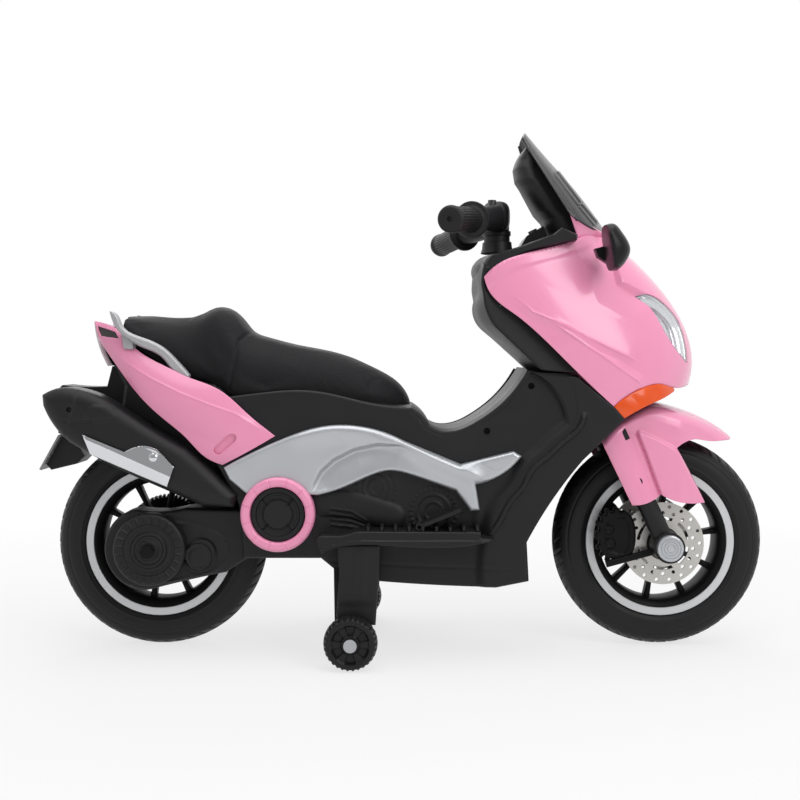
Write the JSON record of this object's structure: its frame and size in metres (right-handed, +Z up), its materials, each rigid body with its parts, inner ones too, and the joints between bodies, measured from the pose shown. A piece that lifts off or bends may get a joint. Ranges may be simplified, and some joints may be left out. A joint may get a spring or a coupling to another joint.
{
  "type": "kids electric motorbike",
  "caption": "Child's battery ride-on motorbike in the manner of a maxi scooter, with a turning fork, spinning wheels, stabilisers, a stepped seat and a foot accelerator.",
  "frame": {"origin": "on the ground under the middle of the overall box", "axes": "+X forward, +Y to the rider's left, +Z up"},
  "size_m": [1.0644, 0.4226, 0.7613],
  "materials": {
    "pink_panel": "moulded gloss",
    "black_plastic": "fine moulded grain",
    "black_gloss": "moulded gloss",
    "silver_trim": "painted silver",
    "chrome_plate": "plated",
    "seat_cover": "grained leatherette",
    "tyre_rubber": "moulded tread",
    "rim_finish": "black with a silver edge",
    "steel": "zinc plated",
    "disc_silver": "painted silver",
    "clear_lens": "clear moulded",
    "lamp_reflector": "bright metallised",
    "amber_lens": "moulded gloss",
    "red_lens": "moulded gloss",
    "smoke_screen": "smoked clear",
    "mirror_face": "mirror foil",
    "rail_grey": "satin grey",
    "plate_face": "plain",
    "nylon": "natural",
    "battery_case": "plain",
    "board_green": "lacquered",
    "button_red": "moulded gloss",
    "button_grey": "moulded gloss",
    "grip_rubber": "ribbed"
  },
  "bodies": {
    "frame": {"body_half_right": "black_plastic", "body_half_left": "black_plastic", "body_screws": "steel", "leg_shield": "black_plastic", "front_fairing": "pink_panel", "headlight_lenses": "clear_lens", "headlight_reflectors": "lamp_reflector", "turn_signals": "amber_lens", "windscreen": "smoke_screen", "dash_housing": "black_gloss", "instrument_panel": "black_gloss", "mirrors": "black_gloss", "mirror_glasses": "mirror_face", "rear_panels": "pink_panel", "undertail": "black_plastic", "tail_lamp": "red_lens", "grab_rails": "rail_grey", "seat_cushion": "seat_cover", "plate_holder": "black_plastic", "number_plate": "plate_face", "muffler": "black_plastic", "muffler_heat_shield": "chrome_plate", "head_tube": "steel", "head_bushes": "nylon", "rear_axle": "steel", "axle_nuts": "steel", "swing_arms": "black_plastic", "drive_covers": "black_plastic", "motor": "steel", "side_trims": "silver_trim", "engine_rings": "pink_panel", "engine_caps": "black_plastic", "footboards": "black_plastic", "side_wheel_arms": "black_plastic", "side_wheel_bolts": "steel", "battery_tray": "black_plastic", "battery": "battery_case", "control_board": "board_green", "charge_socket": "black_gloss"},
    "steering": {"fork": "black_plastic", "steering_stem": "steel", "front_mudguard": "pink_panel", "handlebar": "black_plastic", "grips": "grip_rubber", "front_axle": "steel", "fork_caps": "silver_trim", "brake_calipers": "black_plastic"},
    "front_wheel": {"front_tyre": "tyre_rubber", "front_rim": "rim_finish", "brake_discs": "disc_silver"},
    "rear_wheel": {"rear_tyre": "tyre_rubber", "rear_rim": "rim_finish", "wheel_gear": "nylon"},
    "motor_pinion": {"drive_pinion": "steel"},
    "stabiliser_right": {"side_wheel_right": "tyre_rubber"},
    "stabiliser_left": {"side_wheel_left": "tyre_rubber"},
    "accelerator": {"accelerator_pedal": "black_plastic"},
    "power_switch": {"power_button": "button_red"},
    "horn_switch": {"horn_button": "button_red"},
    "music_switch": {"music_button": "button_grey"}
  },
  "joints": [
    {"name": "steering", "type": "hinge", "parent": "frame", "child": "steering", "pos_m": [0.13993, 0, 0.5936], "axis": [-0.4226, 0, 0.9063], "range_deg": [-20, 20]},
    {"name": "front_wheel_spin", "type": "hinge", "parent": "steering", "child": "front_wheel", "pos_m": [0.3772, 0, 0.15499], "axis": [0, 1, 0], "continuous": true},
    {"name": "rear_wheel_spin", "type": "hinge", "parent": "frame", "child": "rear_wheel", "pos_m": [-0.3578, 0, 0.15499], "axis": [0, 1, 0], "continuous": true},
    {"name": "motor_pinion_spin", "type": "hinge", "parent": "frame", "child": "motor_pinion", "pos_m": [-0.28605, 0, 0.14899], "axis": [0, 1, 0], "continuous": true},
    {"name": "stabiliser_right_spin", "type": "hinge", "parent": "frame", "child": "stabiliser_right", "pos_m": [-0.07261, 0, 0.037], "axis": [0, 1, 0], "continuous": true},
    {"name": "stabiliser_left_spin", "type": "hinge", "parent": "frame", "child": "stabiliser_left", "pos_m": [-0.07261, 0, 0.037], "axis": [0, 1, 0], "continuous": true},
    {"name": "accelerator_press", "type": "hinge", "parent": "frame", "child": "accelerator", "pos_m": [0.02115, -0.13, 0.19173], "axis": [0, 1, 0], "range_deg": [0, 12], "stiffness_Nm_per_rad": 3},
    {"name": "power_press", "type": "slide", "parent": "frame", "child": "power_switch", "axis": [0.4226, 0, -0.9063], "range_m": [0, 0.002], "stiffness_N_per_m": 300},
    {"name": "horn_press", "type": "slide", "parent": "steering", "child": "horn_switch", "axis": [0, 0, -1], "range_m": [0, 0.002], "stiffness_N_per_m": 300},
    {"name": "music_press", "type": "slide", "parent": "steering", "child": "music_switch", "axis": [0, 0, -1], "range_m": [0, 0.002], "stiffness_N_per_m": 300}
  ],
  "couplings": [
    {"joint": "motor_pinion_spin", "follows": "rear_wheel_spin", "ratio": -5}
  ]
}
